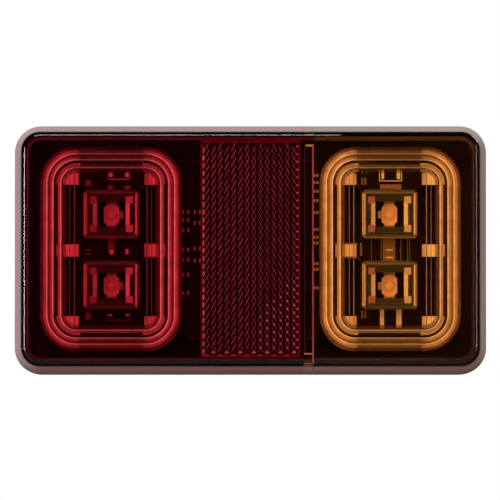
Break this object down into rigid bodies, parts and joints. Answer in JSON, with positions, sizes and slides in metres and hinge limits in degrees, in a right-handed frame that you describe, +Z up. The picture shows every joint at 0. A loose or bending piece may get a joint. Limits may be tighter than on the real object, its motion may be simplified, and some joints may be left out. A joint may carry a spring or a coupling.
{
  "type": "tail light cluster",
  "caption": "Rectangular surface-mounted LED rear lamp with a red stop and tail lens, a reflex reflector, an amber indicator lens, a sealed housing and two rear studs.",
  "frame": {"origin": "middle of the mounting plane, halfway between the two studs and on the cable entry's axis", "axes": "+X to the right seen from the front and along the longest side, +Y to the wall or panel that the lamp is fixed to, +Z up; the lens faces -Y"},
  "size_m": [0.15, 0.045, 0.079],
  "materials": {
    "housing": "moulded, fine grain",
    "lens_red": "polished, tinted through",
    "lens_amber": "polished, tinted through",
    "seal": "matt",
    "reflex": "polished corner cubes",
    "reflex_cap": "matt",
    "carrier": "satin white",
    "board": "solder mask",
    "led": "moulded body with a clear dome",
    "collimator": "polished, clear",
    "chip": "ceramic with tinned ends",
    "chip_tan": "ceramic with tinned ends",
    "package": "moulded epoxy with tinned leads",
    "jumper": "polyimide film",
    "terminal": "moulded",
    "steel": "zinc plated",
    "grommet": "matt"
  },
  "bodies": {
    "root": {"base_housing": "housing", "lens_red": "lens_red", "lens_amber": "lens_amber", "lens_seal": "seal", "reflex_reflector": "reflex", "reflex_cap": "reflex_cap", "carrier_red": "carrier", "carrier_amber": "carrier", "led_board_red": "board", "led_board_amber": "board", "driver_board": "board", "led_red_upper": "led", "led_red_lower": "led", "led_amber_upper": "led", "led_amber_lower": "led", "collimator_red_upper": "collimator", "collimator_red_lower": "collimator", "collimator_amber_upper": "collimator", "collimator_amber_lower": "collimator", "chip_resistors": "chip", "chip_capacitors": "chip_tan", "diodes": "package", "regulators": "package", "board_jumpers": "jumper", "wire_terminal": "terminal", "board_screws": "steel", "stud_left": "steel", "stud_right": "steel", "cable_grommet": "grommet"}
  },
  "joints": []
}
